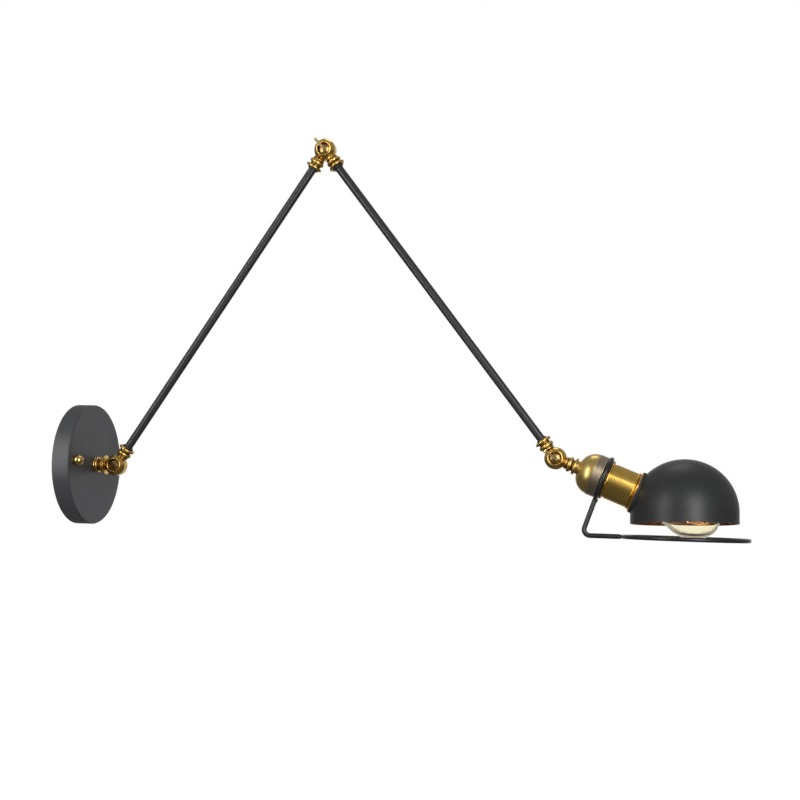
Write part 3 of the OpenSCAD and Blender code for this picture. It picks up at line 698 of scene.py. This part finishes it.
def tube(path, thick, around=8):
    """A round wire of radius thick along a path of points. Its ring lies across the path's
    direction, and it shrinks to a point at both ends."""
    ahead = np.gradient(path, axis=0)
    ahead /= np.linalg.norm(ahead, axis=1)[:, None]
    side = np.cross(ahead, ODD_WAY)
    side /= np.linalg.norm(side, axis=1)[:, None]
    up = np.cross(ahead, side)
    width = np.full(len(path), thick)
    width[[0, -1]] = 0
    turn = np.linspace(0, 2 * np.pi, around, endpoint=False)[None, :, None]
    return (path[:, None] + width[:, None, None]
            * (np.cos(turn) * side[:, None] + np.sin(turn) * up[:, None]))


def fit_out(piece, finish, body, slot, *replaced):
    """Gives a new piece its finish and its body, and hides the nodes that it stands for. The slot is
    not used.
    """
    piece.data.materials.append(finish.material)
    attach(piece, body)
    if replaced:
        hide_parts(*replaced)
    print(f"{piece.name}: {len(piece.data.polygons)} faces")


# %% [markdown]
# ## Fixings behind the backplate
# The backplate is open at the back, so its fixings show from there. The hollow nipple carries the
# whole lamp and the supply wires. A plain tube with a striped bump map would look like a thread
# only from afar, so its thread is a real helix, cut into a turned profile.

# %% Threaded nipple
# The frame's origin: the point on the wall behind the backplate's centre
wall_point = np.zeros(3)
NIPPLE_BORE, NIPPLE_ROOT, NIPPLE_RIM, NIPPLE_CREST = 3.5, 4.3, 4.55, 4.95
NIPPLE_PITCH, NIPPLE_DEPTH = 0.94, 0.45


def wall_span(node):
    """Where a node starts and ends along X, away from the wall, in mm."""
    return [corner[0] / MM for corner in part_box(node)]


inlet, outlet = wall_span("nipple")
nipple = surface("threaded_nipple", screwed(wall_point, wall_way, [
    (NIPPLE_BORE, inlet), (NIPPLE_RIM, inlet), (NIPPLE_CREST, inlet + 0.4),
    (NIPPLE_CREST, outlet), (NIPPLE_BORE, outlet)],
    (inlet + 0.4, outlet - 1, NIPPLE_ROOT, NIPPLE_PITCH, NIPPLE_DEPTH), 56), close_ends=True)
fit_out(nipple, zinc, "wall_base", "zinc_steel", "nipple")

# %% [markdown]
# ### Nut and washer
# A thin hexagon nut and a toothed washer clamp the plate to the nipple. A six-sided cylinder would
# have sharp corners, where a real nut has a round chamfer on both faces, and a flat ring would have
# no teeth that bite. Both follow from a radius and a station that change with the angle.

# %% Hexagon nut
BORE_CHAMFER, NUT_CHAMFER = 0.4, 0.6
SIXTH_TURN = math.pi / 3


def hexagon_nut(node, bore, corner, chamfer):
    """A nut: its radius is the flat's distance over the cosine of the angle to that flat, and at
    both faces it is held under the chamfer's radius."""
    low, high = wall_span(node)
    turn = np.linspace(0, 2 * np.pi, 96, endpoint=False)
    flat = corner * math.cos(SIXTH_TURN / 2)
    hexagon = flat / np.cos((turn + SIXTH_TURN / 2) % SIXTH_TURN - SIXTH_TURN / 2)
    held = np.minimum(hexagon, chamfer)
    inside, mouth = bore + 0 * turn, bore + BORE_CHAMFER + 0 * turn
    radius = np.array([inside, mouth, held, hexagon, hexagon, held, mouth, inside]) * MM
    station = np.array([low + BORE_CHAMFER, low, low, low + NUT_CHAMFER,
                        high - NUT_CHAMFER, high, high, high - BORE_CHAMFER]) * MM
    return carried(wall_point, wall_way, station[:, None] + 0 * radius, radius, turn + 0 * radius)


lock_nut = surface("hexagon_nut", hexagon_nut("lock_nut", 5.0, 8.1, 7.4), close_ends=True)
fit_out(lock_nut, zinc, "wall_base", "zinc_steel", "lock_nut")

# %% Toothed washer
WASHER_HALF, TOOTH_LENGTH, TOOTH_LIFT = 0.25, 2.0, 0.33


def toothed_washer(node, bore, outer, teeth=14):
    """A thin ring with twisted teeth: outside the root radius the rim comes in by a smooth wave, and
    the sheet rises and falls by a sine of the same count."""
    low, high = wall_span(node)
    turn = np.linspace(0, 2 * np.pi, teeth * 16, endpoint=False)[None, :]
    root = outer - TOOTH_LENGTH
    notch = 0.5 + 0.5 * np.tanh(3 * np.cos(teeth * turn))
    across = np.array([0.0, 0.35, 0.6, 0.8, 1.0])[:, None]
    rim = bore + (root + (outer - root) * notch - bore) * across
    lift = np.clip((rim - root) / (outer - root), 0, 1) * TOOTH_LIFT * np.sin(teeth * turn)
    radius = np.concatenate([rim, rim[::-1]]) * MM
    station = ((low + high) / 2
               + np.concatenate([lift - WASHER_HALF, lift[::-1] + WASHER_HALF])) * MM
    return carried(wall_point, wall_way, station, radius, turn + 0 * radius)


washer = surface("toothed_washer", toothed_washer("lock_washer", 5.0, 9.0), close_ends=True)
fit_out(washer, zinc, "wall_base", "zinc_steel", "lock_washer")

# %% [markdown]
# ### Studs
# Two headed studs pass the strap and the plate and carry the round brass nuts. The CAD node holds
# both, so its points are parted at the fold plane, and the box of each half gives that stud's line
# and its ends. Typed numbers would be shorter, but wrong as soon as the plate changes.

# %% Threaded studs
HEAD_R, SHANK_R, TIP_R, STUD_ROOT = 3.8, 2.0, 1.5, 1.8
STUD_PITCH, STUD_DEPTH = 0.7, 0.32
points = np.empty(len(nodes["canopy_studs"].data.vertices) * 3, np.float32)
nodes["canopy_studs"].data.vertices.foreach_get("co", points)
points = points.reshape(-1, 3).astype(float)
studs = []
for half in (points[points[:, 1] > 0], points[points[:, 1] < 0]):
    stud_line = (half.min(axis=0) + half.max(axis=0)) / 2 * (0, 1, 1)
    near, far = half[:, 0].min() / MM, half[:, 0].max() / MM
    studs.append(screwed(stud_line, wall_way, [
        (0, near), (HEAD_R - 0.6, near), (HEAD_R, near + 0.5), (HEAD_R, near + 2.1),
        (HEAD_R - 0.5, near + 2.6), (SHANK_R, near + 2.6), (SHANK_R, far - 0.5), (TIP_R, far),
        (0, far)], (near + 3, far - 0.5, STUD_ROOT, STUD_PITCH, STUD_DEPTH), 40))
stud_pair = surface("threaded_studs", *studs)
fit_out(stud_pair, zinc, "wall_base", "zinc_steel", "canopy_studs")

# %% [markdown]
# ## Weld bead on the wire guard
# The guard is bent from wire. Where its leg meets the loop, a small weld bead shows under the
# paint. A ball would look stuck on. A real bead is the wire's radius plus a hump along the wire,
# with a ripple round it, so it is a turned profile again.

# %% Weld bead
LOOP_STATION, LOOP_RADIUS, WIRE_RADIUS = 56.6, 22.2, 2.7
BEAD_HEIGHT, BEAD_LENGTH = 0.4, 4.2
# How far inside the guard's box the leg bends, how far down the leg the bead sits, and how far the
# bead's ends sink into the wire
BEND_IN, BEAD_AT, BEAD_SUNK = 6.0, 3.0, 0.15


def weld_bead(start, way, radius, height, length):
    """A bead round a wire, in mm. Across its length x from -1 to 1 it stands height * (1 - x * x)
    proud of the wire, with two ripples of 6 % and 4 % that wind round it."""
    across = np.linspace(-1, 1, 17)[:, None]
    turn = np.linspace(0, 2 * np.pi, 40, endpoint=False)[None, :]
    ripple = 1 + 0.06 * np.sin(5 * turn + 3 * across) + 0.04 * np.sin(9 * turn - 4 * across)
    thick = (radius - BEAD_SUNK) * MM + height * MM * (1 - across ** 2) * ripple
    thick[[0, -1]] = 0
    return carried(start, way, across * length / 2 * MM + 0 * turn, thick, turn + 0 * thick)


# Across the socket axis, in the fold plane, pointing down
socket_down = np.cross(socket_way, [0.0, 1.0, 0.0])
socket_down *= -np.sign(socket_down[2])
loop_foot = wrist + socket_way * LOOP_STATION * MM + socket_down * LOOP_RADIUS * MM
guard_low = np.array(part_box("guard")[0])
guard_corner = np.array([guard_low[0] + BEND_IN * MM, 0.0, guard_low[2] + WIRE_RADIUS * MM])
leg_way = toward(loop_foot, guard_corner)
bead = surface("guard_weld_bead", weld_bead(loop_foot + leg_way * BEAD_AT * MM, leg_way,
                                            WIRE_RADIUS, BEAD_HEIGHT, BEAD_LENGTH))
fit_out(bead, shaded_guard_paint, "lamp", "satin_black")

# %% [markdown]
# ## The bulb's screw cap and filament
# The cap of a household bulb is a thin sheet pressed into a round thread, with a pitch of 3.6 mm.
# The CAD model has plain rings in its place, which no socket could screw onto. The same turned
# profile as the nipple's gives the helix, with a longer pitch and a deeper wave.

# %% Bulb cap
CONTACT, GLASS_START = 70.4, 98.4
CAP_RADIUS, CAP_MOUTH, CAP_INSIDE, CAP_ROOT = 13.15, 12.75, 10.9, 12.3
CAP_PITCH, CAP_DEPTH = 3.6, 1.05
bulb_cap = surface("bulb_screw_cap", screwed(wrist, socket_way, [
    (0, CONTACT + 3.2), (9.2, CONTACT + 3.2), (11.9, CONTACT + 4.4), (CAP_RADIUS, CONTACT + 5.2),
    (CAP_RADIUS, CONTACT + 27.6), (CAP_MOUTH, GLASS_START), (CAP_MOUTH, GLASS_START - 2),
    (CAP_INSIDE, GLASS_START - 2.6), (CAP_INSIDE, CONTACT + 5), (0, CONTACT + 5)],
    (CONTACT + 5, CONTACT + 25.5, CAP_ROOT, CAP_PITCH, CAP_DEPTH), 72))
fit_out(bulb_cap, zinc, "lamp", "bulb_cap_metal", "bulb_cap")

# %% [markdown]
# ### Filament
# The filament is one long wire that zigzags between a small circle near the stem's foot and a wider
# one near its tip, the squirrel-cage form of old carbon bulbs. Separate straight legs would leave
# open ends, so one path runs through all the hairpins, and a thin tube is drawn along it. Short
# hooks on the glass stem hold it at both circles.

# %% Filament and its hooks
CAGE_FOOT, CAGE_TOP = GLASS_START + 26, GLASS_START + 58
FILAMENT_RADIUS, HOOK_RADIUS = 0.24, 0.2
HAIRPIN_SHARPNESS = 2.4


def squirrel_cage(low, top, inner, outer, hairpins=9, turns=0.93):
    """The filament's path. Its height is a tanh of a sine, so it runs fast along the legs and turns
    slowly at the ends. Its radius grows with its height, and its angle grows evenly."""
    step = np.linspace(0, 1, 1600)
    wave = np.tanh(HAIRPIN_SHARPNESS * np.sin(2 * np.pi * hairpins * step))
    wave = wave / np.tanh(HAIRPIN_SHARPNESS)
    height = (wave + 1) / 2
    return carried(wrist, socket_way, (low + (top - low) * height) * MM,
                   (inner + (outer - inner) * height) * MM, 2 * np.pi * turns * step)


def spokes(station, start, end, count):
    """Short holding wires from the stem out to the filament: straight paths from a start radius to
    an end radius, spread evenly round the axis."""
    out = np.linspace(start, end, 7) * MM
    level = np.full(len(out), station * MM)
    return [tube(carried(wrist, socket_way, level, out,
                         np.full(len(out), 2 * np.pi * (which + 0.25) / count)), HOOK_RADIUS * MM)
            for which in range(count)]


cage = surface("cage_filament", tube(squirrel_cage(CAGE_FOOT, CAGE_TOP, 4.6, 7.9),
                                     FILAMENT_RADIUS * MM))
fit_out(cage, filament_glow, "lamp", "filament_wire", "filament")
hooks = surface("filament_hooks", *spokes(CAGE_FOOT, 1.35, 4.7, 4),
                *spokes(CAGE_TOP, 2.65, 8.0, 5))
fit_out(hooks, zinc, "lamp", "filament_wire")

# %% [markdown]
# ## Handing out the finishes
# Each CAD node keeps its exact mesh, because it already has the real piece's shape. Only its
# material slots change, and one table says which finish each node wears.

# %% Finishes for the CAD nodes
finishes = {
    "canopy": lit_plate_paint, "shade": shade_finish, "guard": shaded_guard_paint,
    "lower_tube": arm_paint, "upper_tube": arm_paint,
    "lower_ferrules": arm_paint, "upper_ferrules": arm_paint,
    "cap_nuts": plate_brass, "seat_ring": plate_brass, "earth_screw": plate_brass,
    "base_screw": wall_screw, "elbow_key": elbow_key, "lamp_key": lamp_key,
    "socket_cap": cap_brass, "socket_band": pewter, "band_trims": trim_brass,
    "ring_nut": barrel_brass, "barrel": barrel_brass, "shade_nut": barrel_brass,
    "gasket": rubber, "base_friction_ring": fibre, "elbow_friction_ring": fibre,
    "lamp_friction_ring": fibre, "lampholder": porcelain,
    "screw_shell": barrel_brass, "centre_contact": barrel_brass, "terminal_screws": barrel_brass,
    "bracket": zinc, "canopy_studs": zinc, "nipple": zinc, "lock_nut": zinc, "lock_washer": zinc,
    "stub_nut": zinc, "bulb_cap": zinc, "bulb_insulator": black_glass,
    "bulb_glass": glass, "bulb_stem": stem_glass, "filament": filament_glow,
    **knuckles,
}
for name, node in nodes.items():
    node.data.materials.clear()
    node.data.materials.append(finishes[name].material)
print(len(finishes), "CAD nodes dressed")
